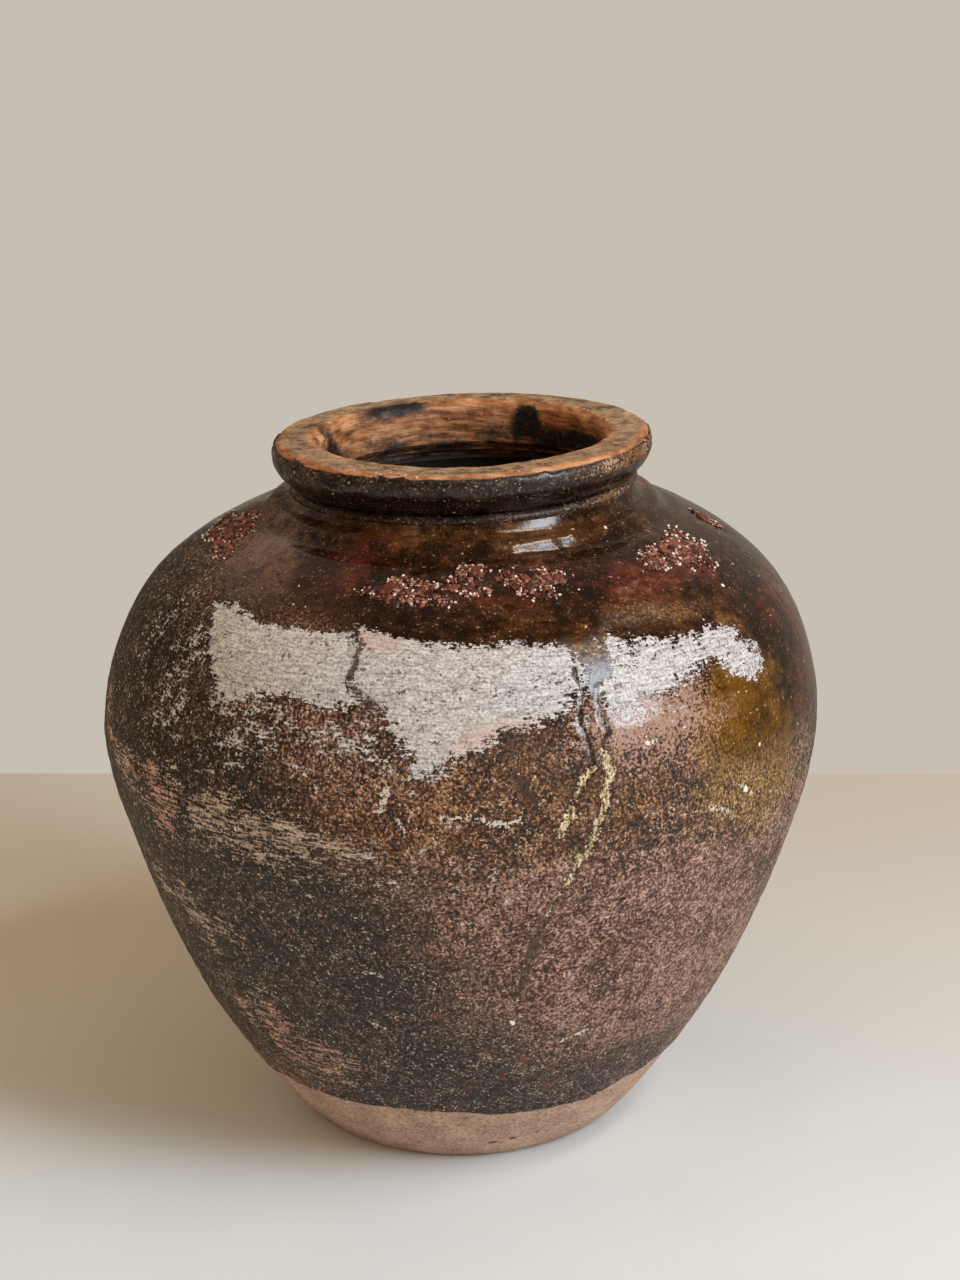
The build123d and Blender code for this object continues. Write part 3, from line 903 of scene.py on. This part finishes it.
def iron_glaze(name):
    """Iron-brown glaze: dark and glassy where it lies thick, dry and gritty below, rubbed to pale clay."""
    material, tree, place = new_material(name)
    wheel = node(tree, "Attribute", out="Vector", attribute_name="wheel")
    broad = node(tree, "TexNoise", place, 1 / (26 * mm), 5.0, 0.6)
    strokes = node(tree, "TexNoise", wheel, 1 / (15 * mm), 4.0, 0.65)
    flecks = node(tree, "TexNoise", wheel, 1 / (6 * mm), 3.0, 0.7)
    flakes = node(tree, "TexNoise", place, 1 / (5 * mm), 4.0, 0.65)
    grit = node(tree, "TexNoise", place, 1 / (1.4 * mm), 3.0, 0.7)
    dust = node(tree, "TexNoise", place, 1 / (1.1 * mm), 1.0, 0.5)
    hanging = node(tree, "Mapping", place, links={"Scale": (1, 1, 0.2)})
    fibres = node(tree, "TexNoise", hanging, 1 / (1.8 * mm), 2.0, 0.6)
    depth_of_glaze = worked(tree, (broad, 0.4), (strokes, 0.15), (flakes, 0.25), (grit, 0.2))
    dryness = worked(tree, (grit, 0.65), (dust, 0.15), (flakes, 0.25), (broad, 0.20), start=-0.125)
    gloss = node(tree, "MapRange", ragged(tree, "gloss", (flakes, 0.8), (grit, 0.5)), 0.25, 0.75)
    dry = node(tree, "Math", 1.0, gloss, operation="SUBTRACT")
    # Each colour of the glaze: its mark, its stops where the glaze is glassy and those where it is dry
    paints = (
        ("", ((0.38, "#0e0704"), (0.46, "#24140a"), (0.54, "#3e2617"), (0.64, "#5f432d")),
         ((0.40, "#180c06"), (0.47, "#462d1e"), (0.53, "#7e5a45"), (0.59, "#b9967f"))),
        ("amber", ((0.38, "#170b05"), (0.46, "#371f0e"), (0.54, "#563619"), (0.64, "#7a5633")),
         ((0.40, "#180a03"), (0.47, "#3e230c"), (0.53, "#744a28"), (0.60, "#ae865e"))),
        ("ochre", ((0.38, "#281706"), (0.46, "#4a310a"), (0.54, "#6d4a12"), (0.64, "#8b6329")),
         ((0.39, "#241505"), (0.465, "#563b14"), (0.535, "#876736"), (0.60, "#b8975e"))),
        ("rust", ((0.38, "#190704"), (0.46, "#33110a"), (0.54, "#532113"), (0.64, "#7a3c2a")),
         ((0.40, "#241009"), (0.47, "#59382c"), (0.53, "#8e6a5b"), (0.59, "#bd9b8d"))),
        ("brushed", ((0.38, "#301f16"), (0.46, "#523c2e"), (0.54, "#735a49"), (0.64, "#957f6c")),
         ((0.38, "#2c1d14"), (0.46, "#523c2e"), (0.54, "#735a49"), (0.62, "#957f6c"))),
        # Charred dark glaze, which also paints the shade in the neck's groove and along the jar's left edge.
        ("char_and_shade", ((0.38, "#050302"), (0.46, "#0e0906"), (0.54, "#1e150f"), (0.64, "#362a20")),
         ((0.40, "#0a0705"), (0.47, "#1c150f"), (0.53, "#35291f"), (0.60, "#6a5747"))),
    )
    colour = None
    for name_of_mark, glassy_stops, gritty_stops in paints:
        glassy = node(tree, "ValToRGB", depth_of_glaze, stops=glassy_stops)
        gritty = node(tree, "ValToRGB", dryness, stops=gritty_stops)
        paint = node(tree, "Mix", gloss, gritty, glassy, data_type="RGBA")
        if colour is None:
            colour = paint
        else:
            share = ragged(tree, name_of_mark, (broad, 1.6), (flakes, 1.2), (strokes, 0.8))
            colour = laid(tree, colour, paint, share, 0.20, 0.85, 0.9)
    colour = laid(tree, colour, "#140d09", worked(tree, (dust, 0.7), (grit, 0.3)), 0.37, 0.31, 0.8)
    specks = worked(tree, (dust, 1.0), (flakes, 0.4), (dry, 0.12))
    colour = laid(tree, colour, "#dccfc0", specks, 0.985, 1.045, 0.85)
    embers = ragged(tree, "ember", (flakes, 1.4), (grit, 0.8))
    colour = laid(tree, colour, "#86452f", embers, 0.35, 1.05, 0.45)
    stars = node(tree, "TexVoronoi", place, 1 / (11 * mm), out="Distance")
    colour = laid(tree, colour, "#d3c6b6", worked(tree, (dust, 0.08), start=stars), 0.10, 0.075, 0.9)
    scuffed = ragged(tree, "scuff", (strokes, 1.4), (flecks, 2.0), (grit, 1.2))
    clay_tone = worked(tree, (dust, 0.6), (flakes, 0.4))
    clay_stops = ((0.38, "#96836f"), (0.50, "#bba998"), (0.64, "#dacdbf"))
    pink_stops = ((0.38, "#9c7462"), (0.50, "#c49a88"), (0.64, "#dfc0b2"))
    clay = node(tree, "ValToRGB", clay_tone, stops=clay_stops)
    pink_clay = node(tree, "ValToRGB", clay_tone, stops=pink_stops)
    # Painted reflection: a pinkish white sheen of the window, laid over the glaze right of the split.
    painted_sheen = ragged(tree, "sheen", (dust, 2.2), (grit, 1.8), (flakes, 1.2))
    colour = laid(tree, colour, "#bf9d8c", painted_sheen, 0.30, 1.10, 0.72)
    painted_pink = node(tree, "Attribute", out="Fac", attribute_name="pink")
    clay = laid(tree, clay, pink_clay, painted_pink, 0.2, 0.8)
    colour = laid(tree, colour, clay, scuffed, 0.47, 0.56)
    whitened = ragged(tree, "white", (flecks, 1.2), (grit, 1.3), (flakes, 1.5))
    chalk_stops = ((0.39, "#7f7d7c"), (0.46, "#a5a4a5"), (0.52, "#bcbcbe"), (0.59, "#d8d9dc"))
    chalk_tone = worked(tree, (dust, 0.35), (grit, 0.20), (flecks, 0.45))
    chalk = node(tree, "ValToRGB", chalk_tone, stops=chalk_stops)
    chalk = laid(tree, chalk, "#563f30", worked(tree, (flakes, 0.6), (grit, 0.4)), 0.42, 0.39, 0.85)
    chalk = laid(tree, chalk, "#c7a699", painted_pink, 0.3, 0.9, 0.5)
    colour = laid(tree, colour, chalk, whitened, 0.44, 0.53)
    torn = ragged(tree, "split", (flakes, 0.4), (grit, 0.3))
    colour = laid(tree, colour, "#120b07", torn, 0.86, 0.92, 0.9)
    crusted = ragged(tree, "crust", (grit, 0.9), (flakes, 0.7))
    crust_stops = ((0.38, "#33200f"), (0.45, "#8c7050"), (0.52, "#ccb58c"), (0.60, "#eae0c8"))
    crust = node(tree, "ValToRGB", worked(tree, (fibres, 0.7), (dust, 0.3)), stops=crust_stops)
    colour = laid(tree, colour, "#1b110a", crusted, 0.66, 0.72, 0.8)
    colour = laid(tree, colour, crust, crusted, 0.78, 0.83, 0.95)
    cracked = ragged(tree, "crack", (flakes, 1.6), (grit, 2.2))
    colour = laid(tree, colour, "#3b2415", cracked, 0.83, 0.90, 0.9)
    colour = laid(tree, colour, "#d8cfc2", ragged(tree, "scratch", (grit, 1.6)), 0.82, 0.90, 0.95)
    covered = node(tree, "Math", node(tree, "MapRange", whitened, 0.44, 0.53),
                   node(tree, "MapRange", scuffed, 0.47, 0.56), operation="MAXIMUM")
    rough = node(tree, "MapRange", gloss, 0.0, 1.0, 0.62, 0.07)
    rough = worked(tree, (broad, 0.25), (strokes, 0.25), (covered, 0.40), start=rough)
    rough = node(tree, "Math", rough, 0.21, operation="SUBTRACT")
    relief = node(tree, "Math", grit, dry, operation="MULTIPLY")
    relief = worked(tree, (covered, 0.5), (broad, 0.3), (flakes, 0.35), (grit, 0.12), start=relief)
    surfaced(tree, colour, rough, relief, 0.35 * mm)
    return material


body_front = bearings(glaze_turns)
edge_height = glaze_rise(body_front) + 0.8 * mm * clouds(circle(glaze_turns, belly_radius), 9 * mm, 69)
edge_climb = np.interp(edge_height, lower_line[:, 1], climb_of(lower_line))

# The coat's rows lie close together on this share of its height, where its edge rolls under
close_share = 0.02
body_share = np.concatenate([np.linspace(0, close_share, 7)[:-1], np.linspace(close_share, 1, 116)])
body_climb = edge_climb + (belly_climb - edge_climb) * body_share[:, None]
body_rows = np.concatenate([along(lower_line, body_climb), body_climb[..., None]], axis=-1)
edge_round = 1.8 * mm


def body_coat(places, front, climb):
    """The coat's own thickness, rolled at its lower edge, with the glaze's relief."""
    up = climb - edge_climb
    rounded = np.clip(1 - (1 - up / edge_round) ** 2, 0, 1)
    swollen = np.sqrt(np.where(up < edge_round, rounded, 1))
    roll = 0.35 * mm * np.exp(-(((up - 2.2 * mm) / (2.0 * mm)) ** 2))
    coat = (glaze_thickness + roll) * swollen - 0.25 * mm * (1 - swollen)
    return coat + glaze_skin(places, front, climb)


def back_of(rows, depth=1.2 * mm):
    """The hidden back of a coat, sunk a little into the clay that it covers."""
    few = rows[::-1][:: max(1, len(rows) // 12)].copy()
    few[..., 0] -= depth
    return few


body_sides = [(body_rows, body_coat), (back_of(body_rows), still)]
body, body_grid = turned("body_glaze_coat", body_sides, glaze_turns, upright, 2)


def climbs_on(grid, shown_climb):
    """Climb at each point of a coat, whose hidden back takes that of its edge."""
    climb = np.empty(grid.shape[:2])
    climb[:] = shown_climb[-1]
    climb[: len(shown_climb)] = shown_climb
    return climb


# Strokes drawn round the wheel are this many times as long as they are high
stroke_stretch = 6


def paint_marks(piece, grid, climb, marks):
    """Puts a coat's marks on its mesh, and the places by which its strokes follow the wheel."""
    for name, values in marks.items():
        mark(piece, name, values)
    wheel = np.stack([grid[..., 0], grid[..., 1], stroke_stretch * climb], axis=-1)
    mark(piece, "wheel", wheel, "FLOAT_VECTOR")


def painted(piece, grid, shown_climb):
    """Paints the glaze's marks on one of the two coats of the body."""
    climb = climbs_on(grid, shown_climb)
    front = np.broadcast_to(body_front, grid.shape[:2])
    paint_marks(piece, grid, climb, glaze_marks(grid, front, climb))


painted(body, body_grid, body_climb)
dressed(body, iron_glaze("matt_iron_glaze_stoneware"), "body_glaze")

# Shoulder glaze. The same iron glaze, laid thicker over the shoulder, where it melted to a dark glassy
# brown with red and ochre clouds and a broad patch rubbed down to a chalky white.
glaze_row_step = 1.5 * mm
shoulder_rows = between_seams(upper_line, glaze_turns, glaze_row_step)


def shoulder_coat(places, front, climb):
    """The coat's thickness with the glaze's relief."""
    return glaze_thickness + glaze_skin(places, front, climb)


shoulder_sides = [(shoulder_rows, shoulder_coat), (back_of(shoulder_rows), still)]
glossy, glossy_grid = turned("shoulder_glaze_coat", shoulder_sides, glaze_turns, sagged, 2)
painted(glossy, glossy_grid, shoulder_rows[..., 2])
dressed(glossy, iron_glaze("glossy_iron_glaze_stoneware"), "shoulder_glaze")

# Neck glaze. Thick glossy glaze that ran in lumps over the roll, up to the line where handling wore it
# off the lip. In the groove and on the underside of the roll it is painted black as the shade there.
wear_line = rim_climb - 3.0 * mm
neck_line = np.concatenate([bead_line, rim_line])
worn_edge = 1.6 * mm * clouds(circle(rim_turns, rim_radius), 9 * mm, 82)
neck_end = bead_climb + wear_line + worn_edge
neck_share = np.linspace(0, 1, 46)
neck_way = neck_end * neck_share[:, None]
neck_rows = np.concatenate([along(neck_line, neck_way), neck_way[..., None]], axis=-1)


def neck_coat(places, front, climb):
    """Thickness of the coat, thinning to the worn edge, with lumps where it ran."""
    swollen = np.clip((neck_end - climb) / (1.4 * mm), 0, 1) ** 0.5
    on_roll = np.clip((climb - bead_climb) / (4 * mm), 0, 1)
    ran = 0.35 * mm * clouds(places, 9 * mm, 81, 3) * on_roll
    return (glaze_thickness + ran) * swollen + rim_lumps(places, front, climb - bead_climb) * on_roll


neck_sides = [(neck_rows, neck_coat), (back_of(neck_rows), still)]
neck_glaze, neck_grid = turned("neck_glaze_coat", neck_sides, rim_turns, set_askew, 2)
neck_ways = climbs_on(neck_grid, neck_way)
neck_front = np.broadcast_to(bearings(rim_turns), neck_grid.shape[:2])
# The groove and the underside of the roll are painted black as the shade that falls there.
groove_shade = np.clip((bead_climb + 18 * mm - neck_ways) / (7 * mm), 0, 1)
groove_shade *= np.clip((neck_ways - bead_climb + 3 * mm) / (3 * mm), 0, 1)
neck_cloud = clouds(neck_grid, 18 * mm, 83, 3)
near_lip = np.clip((neck_ways - bead_climb - wear_line + 5 * mm) / (5 * mm), 0, 1)
right_end = hump(turned_by(neck_front, 80), 0, 60)
neck_scuff = 0.10 * near_lip + 0.15 * neck_cloud * near_lip + 0.10 * right_end * (1 - groove_shade)
neck_marks = {
    "white": np.full(neck_grid.shape[:2], -0.5),
    "scuff": neck_scuff - 0.25 * (1 - near_lip),
    "pink": np.full(neck_grid.shape[:2], 0.5),
    "rust": 0.1 * neck_cloud,
    "amber": 0.30 + 0.4 * neck_cloud - groove_shade,
    "ochre": 0.6 * right_end + 0.2 * neck_cloud - groove_shade,
    "char_and_shade": 0.72 + 1.4 * groove_shade + 0.4 * neck_cloud - 0.9 * right_end,
    "gloss": 0.40 + 0.3 * neck_cloud + 0.5 * groove_shade,
}
paint_marks(neck_glaze, neck_grid, neck_ways, neck_marks)
dressed(neck_glaze, iron_glaze("pooled_iron_glaze_stoneware"), "neck_glaze")

# Kiln grit. Coarse quartz and broken brick that fused to the glaze in a ring, where the foot of
# another pot stood on the shoulder. Each patch is a crust of flat lumps with sharp grains on top.
grit_ring_radius = 110.0 * mm

# Each patch: degrees round the jar from +X, radius as a share of the ring's, and the half length and
# half width of the patch as shares of the ring's radius
grit_patch_shares = (
    (-171.0, 0.97, 0.20, 0.085), (-102.0, 1.03, 0.13, 0.055), (-88.5, 0.97, 0.07, 0.075),
    (-74.0, 0.99, 0.11, 0.060), (-31.0, 1.00, 0.19, 0.075), (0.5, 1.02, 0.035, 0.060),
    (58.0, 1.00, 0.15, 0.070), (127.0, 0.98, 0.12, 0.065),
)


def shard():
    """Corners and faces of a small faceted stone, which every grain is a squashed copy of."""
    shape = bmesh.new()
    bmesh.ops.create_icosphere(shape, subdivisions=2, radius=1.0)
    corners = np.array([corner.co[:] for corner in shape.verts])
    faces = np.array([[corner.index for corner in face.verts] for face in shape.faces])
    shape.free()
    return corners, faces


def on_coat(grid, climbs, front, climb):
    """Places on a fired coat at bearings and climbs, with the direction out of it there."""
    shown = grid[: len(climbs)]
    out = np.cross(np.roll(shown, -1, axis=1) - np.roll(shown, 1, axis=1), np.gradient(shown, axis=0))
    column = np.round((front - 90) % 360 / 360 * glaze_turns).astype(int) % glaze_turns
    row = np.array([np.searchsorted(climbs[:, at], up) for at, up in zip(column, climb)])
    row = np.clip(row, 0, len(climbs) - 1)
    outs = out[row, column]
    return shown[row, column], outs / np.linalg.norm(outs, axis=-1, keepdims=True)


def strewn(name, spots, outs, widths, flatness, tones, seed):
    """One mesh of separate grains, each turned at random and half sunk where it lies."""
    table = np.random.default_rng(seed)
    corners, faces = shard()
    count = len(spots)
    side = np.cross(outs, table.normal(size=(count, 3)))
    side /= np.linalg.norm(side, axis=1, keepdims=True)
    other = np.cross(outs, side)
    spin = np.linalg.qr(table.normal(size=(count, 3, 3)))[0]
    rough = 1 + 0.42 * lumps(corners[None] * 0.8 + table.uniform(0, 30, (count, 1, 3)), 1.0, seed)
    shape = corners[None] @ spin * rough[..., None]
    shape = np.sign(shape) * np.abs(shape) ** 0.8
    squeeze = table.uniform(0.55, 1.0, count)
    places = spots[:, None] + widths[:, None, None] / 2 * (
        shape[..., :1] * side[:, None]
        + shape[..., 1:2] * other[:, None] * squeeze[:, None, None]
        + shape[..., 2:] * outs[:, None] * flatness[:, None, None]
    )
    numbered = faces[None] + np.arange(count)[:, None, None] * len(corners)
    mesh = bpy.data.meshes.new(name)
    mesh.from_pydata(places.reshape(-1, 3).tolist(), [], numbered.reshape(-1, 3).tolist())
    piece = placed(name, mesh)
    mark(piece, "tone", np.repeat(tones, len(corners)))
    return piece


def patch_grains(patch, table):
    """Where the grains of one patch lie: a crust of broad lumps, small grains on it, quartz at its rim."""
    angle, radius_share, length_share, width_share = patch
    area = math.pi * length_share * width_share * grit_ring_radius**2
    for width, cover, height, darkest, palest, spill in grain_kinds:
        count = int(cover * area / width**2)
        reach_out = np.sqrt(table.uniform(0, 1, count)) * spill
        turn = table.uniform(0, 2 * math.pi, count)
        lobe = 1 + 0.24 * np.sin(3 * turn + angle) + 0.18 * np.cos(5 * turn - angle)
        radius = grit_ring_radius * (radius_share + width_share * lobe * reach_out * np.cos(turn))
        across = grit_ring_radius * length_share * lobe * reach_out * np.sin(turn)
        front = angle + 90 + np.degrees(across / (grit_ring_radius * radius_share))
        base = np.interp(-radius, -upper_line[:, 0], climb_of(upper_line)) - seam_allowance + belly_climb
        spots, outs = on_coat(glossy_grid, shoulder_rows[..., 2], front, base)
        widths = width * table.uniform(0.6, 1.3, count)
        lift = 0.12 * width * table.uniform(-1, 1, count) + (0.3 * mm if width < 4 * mm else 0.0)
        astray = 0.8 * mm * table.uniform(-1, 1, (count, 3)) * (1 - np.abs(outs))
        spots = spots + outs * lift[:, None] + astray
        tones = table.uniform(darkest, palest, count)
        yield spots, outs, widths, height * table.uniform(0.7, 1.3, count), tones


def fused_grit():
    """Fused grit: rust-red brick and dark glassy lumps, with glints of white quartz."""
    material, tree, place = new_material("fused_kiln_grit")
    fine = node(tree, "TexNoise", place, 1 / (1.2 * mm), 3.0, 0.6)
    stops = (
        (0.05, "#150b07"), (0.28, "#431f12"), (0.50, "#7d4533"), (0.66, "#a7745f"), (0.80, "#cdb0a0"),
        (0.92, "#f1eae3"),
    )
    colour = node(tree, "ValToRGB", ragged(tree, "tone", (fine, 0.5)), stops=stops)
    surfaced(tree, colour, node(tree, "MapRange", fine, 0.3, 0.7, 0.30, 0.75), fine, 0.3 * mm)
    return material


# Each kind of grain: width, how often it covers the patch, height for its width, tones, and its spill
grain_kinds = (
    (4.2 * mm, 2.6, 0.36, 0.12, 0.55, 1.00),
    (2.0 * mm, 2.2, 0.50, 0.15, 0.68, 1.05),
    (1.2 * mm, 1.6, 0.70, 0.20, 0.80, 1.15),
    (1.3 * mm, 0.34, 0.80, 0.80, 1.00, 1.30),
)
grit_table = np.random.default_rng(17)
strewn_over = [kind for patch in grit_patch_shares for kind in patch_grains(patch, grit_table)]
grit_parts = [np.concatenate(part) for part in zip(*strewn_over)]
grit = strewn("kiln_grit_grains", *grit_parts, 18)
dressed(grit, fused_grit(), "kiln_grit")

# Crust of the split. Where the wall tore in the kiln, glaze drew back from the edges and left yellow
# crusty beads along them, and a few specks of lime burst white through the glaze.
lime_pops = (
    (29, 246, 2.6), (48, 216, 2.8), (52, 230, 2.0), (10, 114, 3.0), (22, 330, 2.2), (44.5, 351, 1.8),
    (-9, 262, 1.6), (34, 355, 1.6), (-35, 207, 2.0), (60, 300, 1.8), (140, 250, 2.4), (-130, 170, 2.0),
)

# Each line of beads: its line, their spacing and spread to each side in millimetres, and their tones
branches = (
    (splits[0], 0.45, 1.3, (0.02, 0.45)),
    (splits[1], 0.60, 1.3, (0.02, 0.45)),
    (splits[2], 1.00, 0.5, (0.25, 0.80)),
    (splits[3], 0.80, 0.8, (0.20, 0.90)),
    (cracks[2], 0.50, 0.6, (0.35, 0.80)),
    (cracks[1], 1.4, 0.7, (0.35, 0.75)),
)
bead_width = 0.9


def beads_along(line, table, spacing, half_width, tones):
    """Bearings, heights and tones of crusty beads scattered along one branch of the split."""
    ends = np.array(line, float) * (wall_degree, 1)
    run = climb_of(ends)
    count = int(run[-1] / spacing)
    at = np.sort(table.uniform(0, run[-1], count))
    aside = half_width * table.normal(0, 1, count)
    front = np.interp(at, run, ends[:, 0]) / wall_degree + aside / wall_degree
    up = np.interp(at, run, ends[:, 1]) + 0.4 * table.normal(0, 1, count)
    return front, up, table.uniform(*tones, count)


def crazed_crust():
    """Crawled glaze: yellowish, crusty and half matt, from ochre through cream to white lime."""
    material, tree, place = new_material("crawled_glaze_crust")
    fine = node(tree, "TexNoise", place, 1 / (1.4 * mm), 3.0, 0.6)
    stops = ((0.05, "#22160e"), (0.30, "#543c28"), (0.52, "#927655"), (0.75, "#ccb18a"), (0.95, "#ece3d6"))
    colour = node(tree, "ValToRGB", ragged(tree, "tone", (fine, 0.5)), stops=stops)
    surfaced(tree, colour, node(tree, "MapRange", fine, 0.3, 0.7, 0.35, 0.7), fine, 0.2 * mm)
    return material


crust_table = np.random.default_rng(29)
beads = [np.stack(beads_along(line, crust_table, *rest)) for line, *rest in branches]
beads.append(np.array([(at, up, 1.0) for at, up, width in lime_pops]).T)
bead_front, bead_up, bead_tones = np.concatenate(beads, axis=1)
bead_widths = bead_width * crust_table.uniform(0.5, 1.4, len(bead_front)) * mm
bead_widths[-len(lime_pops):] = [width * mm for at, up, width in lime_pops]
on_shoulder = bead_up * mm > belly_climb + 1 * mm
upper_spots, upper_outs = on_coat(glossy_grid, shoulder_rows[..., 2], bead_front, bead_up * mm)
lower_spots, lower_outs = on_coat(body_grid, body_climb, bead_front, bead_up * mm)
bead_spots = np.where(on_shoulder[:, None], upper_spots, lower_spots)
bead_outs = np.where(on_shoulder[:, None], upper_outs, lower_outs)
bead_spots = bead_spots + 0.7 * mm * crust_table.uniform(-1, 1, bead_spots.shape) * (1 - np.abs(bead_outs))
bead_heights = crust_table.uniform(0.30, 0.55, len(bead_front))
crust = strewn("split_crust_beads", bead_spots, bead_outs, bead_widths, bead_heights, bead_tones, 30)
crust.data.materials.append(crazed_crust())
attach(crust, "root")

# Room. A plain pale bench in front of a pale plaster wall, lit by a tall window and a narrow skylight
# on the right, and by the warm light that comes back from the room.
floor_depth = 0.437
floor_front = 3 * floor_depth
floor_reach = 0.7
lamp_distance = 2.5

# Each lamp: its name, its direction from the jar, its width and height, how far it is raised, its watts
# and its colour
lamps = (
    ("window", (0.70, -0.485, 0.53), 0.70, 1.5, 0.2, 44.0, "#e8f3ff"),
    ("skylight", (0.48, -0.315, 0.819), 1.1, 0.25, 0.3, 15.0, "#fff4e4"),
)
room_glow = 0.59
camera_place = (0.0089, -1.2, 0.599)
camera_pitch = 17.29
camera_lens = 76.6


def pale_plaster():
    """Painted plaster bench: near white and quite matt, with faint clouds, and greyer towards the back as
    painted shade.
    """
    material, tree, place = new_material("pale_plaster")
    cloudy = node(tree, "TexNoise", place, 1 / 0.25, 4.0)
    fine = node(tree, "TexNoise", place, 1 / (2 * mm), 3.0)
    colour = node(tree, "ValToRGB", cloudy, stops=((0.35, "#dbe8f1"), (0.65, "#e4eff6")))
    # Greyer towards the back: painted shade.
    depth = node(tree, "SeparateXYZ", place, out="Y")
    colour = laid(tree, colour, "#c8c9c6", depth, -0.25, 0.43)
    surfaced(tree, colour, 0.9, fine, 0.1 * mm)
    return material


bench_mesh = bpy.data.meshes.new("bench")
bench_corners = [
    (-floor_reach, -floor_front, 0), (floor_reach, -floor_front, 0),
    (floor_reach, floor_depth, 0), (-floor_reach, floor_depth, 0),
]
bench_mesh.from_pydata(bench_corners, [], [(0, 1, 2, 3)])
bench = placed("bench", bench_mesh)
bench_mesh.materials.append(pale_plaster())

for name, way, width, height, raised, watts, colour in lamps:
    light = bpy.data.lights.new(name, "AREA")
    light.shape = "RECTANGLE"
    light.size = width
    light.size_y = height
    light.energy = watts
    light.color = linear(colour)[:3]
    lamp = placed(name, light)
    lamp.location = Vector(way).normalized() * lamp_distance + Vector((0, 0, raised))
    lamp.rotation_euler = Vector(way).to_track_quat("Z", "Y").to_euler()

# The room's light comes back warm from its walls. The pale wall shows behind the jar and in the glaze,
# which also mirrors the dimmer end of the room in front of it
room = bpy.data.worlds.new("warm_room")
room.use_nodes = True
tree = room.node_tree
tree.nodes.clear()
lit_by = node(tree, "Background", "#ffd9ae", room_glow)
backwards = node(tree, "SeparateXYZ", node(tree, "TexCoord", out="Generated"), out="Y")
to_camera = node(tree, "LightPath", out="Is Camera Ray")
mirrored = node(tree, "LightPath", out="Is Glossy Ray")
passed = node(tree, "LightPath", out="Is Transmission Ray")
wall_share = node(tree, "Math", node(tree, "MapRange", backwards, 0.0, 0.8), to_camera, operation="MAXIMUM")
seen_wall = node(tree, "Mix", to_camera, "#938a7f", "#c8bfb4", data_type="RGBA")
wall_colour = node(tree, "Mix", wall_share, "#564b3f", seen_wall, data_type="RGBA")
shown_wall = node(tree, "Background", wall_colour, 1.0)
seen = node(tree, "Math", to_camera, mirrored, operation="MAXIMUM")
seen = node(tree, "Math", seen, passed, operation="MAXIMUM")
node(tree, "OutputWorld", node(tree, "MixShader", seen, lit_by, shown_wall))
bpy.context.scene.world = room

lens = bpy.data.cameras.new("camera")
lens.lens = camera_lens
camera = placed("camera", lens)
camera.location = camera_place
camera.rotation_euler = (math.radians(90 - camera_pitch), 0, 0)
bpy.context.scene.camera = camera
bpy.context.scene.view_settings.view_transform = "Standard"
